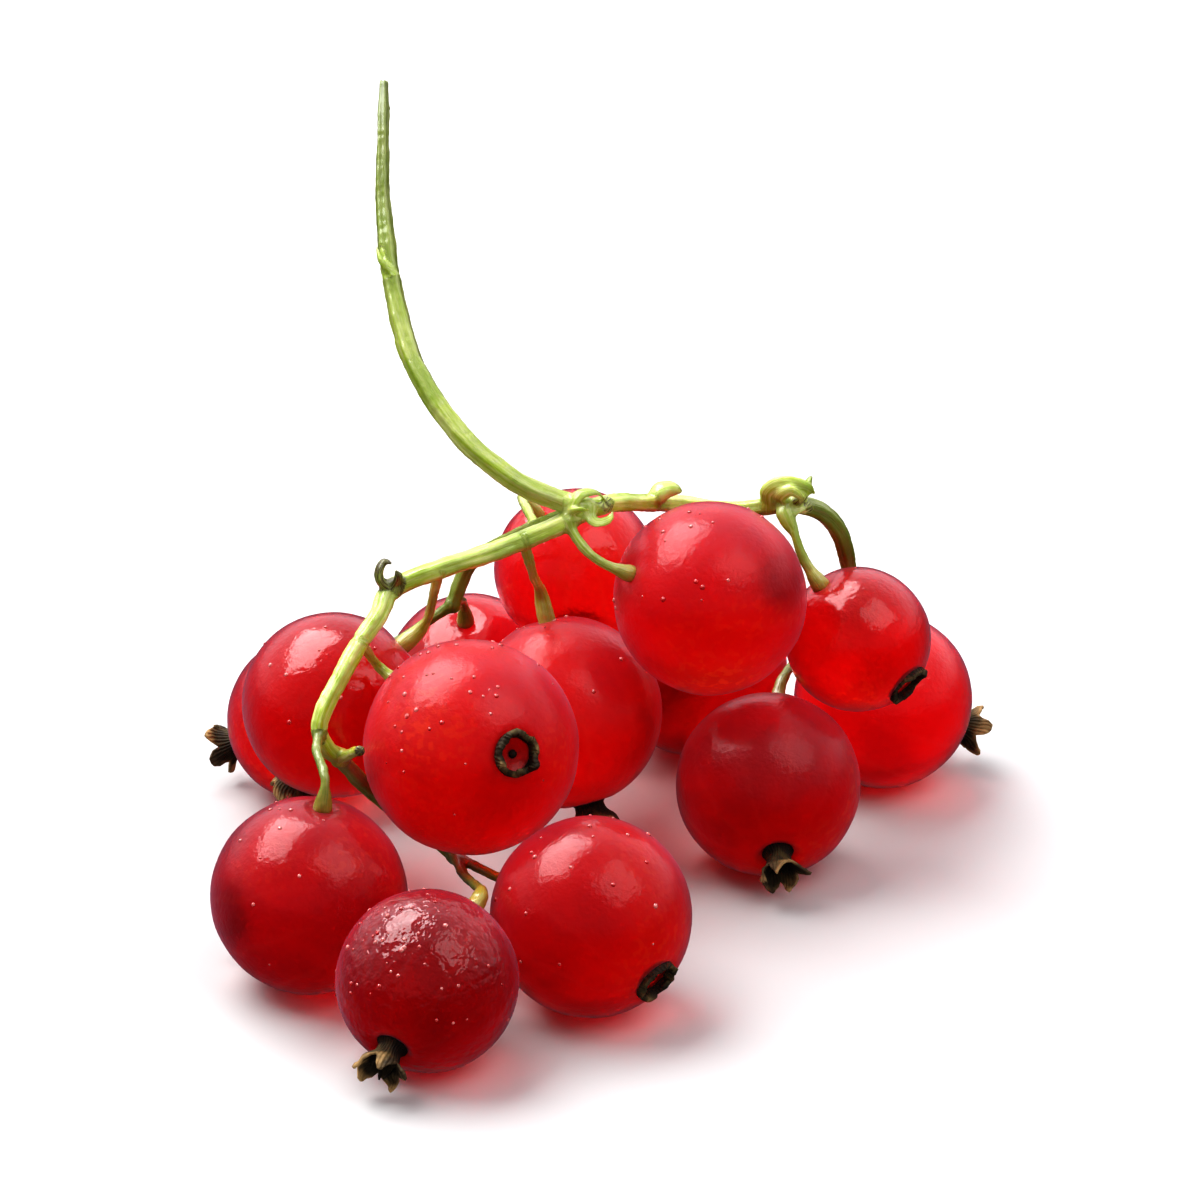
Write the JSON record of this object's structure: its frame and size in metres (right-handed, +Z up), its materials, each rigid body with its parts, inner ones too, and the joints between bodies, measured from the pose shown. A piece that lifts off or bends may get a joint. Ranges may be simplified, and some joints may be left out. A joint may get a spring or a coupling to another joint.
{
  "type": "redcurrant strig",
  "caption": "Bunch of redcurrants lying down: a forked green stem with a long stalk, round translucent red berries on thin pedicels, and dried flower remains on the berries.",
  "frame": {"origin": "middle of the whole bunch's outline, on the surface that the lower berries lie on", "axes": "+Z up; +Y away from the viewer of the picture, from the front berry to the stalk's side; +X to the right"},
  "size_m": [0.0416, 0.0476, 0.0362],
  "materials": {
    "berry": "gloss",
    "stem": "satin",
    "dried_flower": "matte"
  },
  "bodies": {
    "root": {"strig": "stem", "berry_01": "berry", "berry_02": "berry", "berry_03": "berry", "berry_04": "berry", "berry_05": "berry", "berry_06": "berry", "berry_07": "berry", "berry_08": "berry", "berry_09": "berry", "berry_10": "berry", "berry_11": "berry", "berry_12": "berry", "berry_13": "berry", "berry_14": "berry", "calyx_01": "dried_flower", "calyx_02": "dried_flower", "calyx_03": "dried_flower", "calyx_04": "dried_flower", "calyx_05": "dried_flower", "calyx_06": "dried_flower", "calyx_07": "dried_flower", "calyx_08": "dried_flower", "calyx_09": "dried_flower", "calyx_10": "dried_flower", "calyx_11": "dried_flower", "calyx_12": "dried_flower", "calyx_13": "dried_flower", "calyx_14": "dried_flower"}
  },
  "joints": []
}
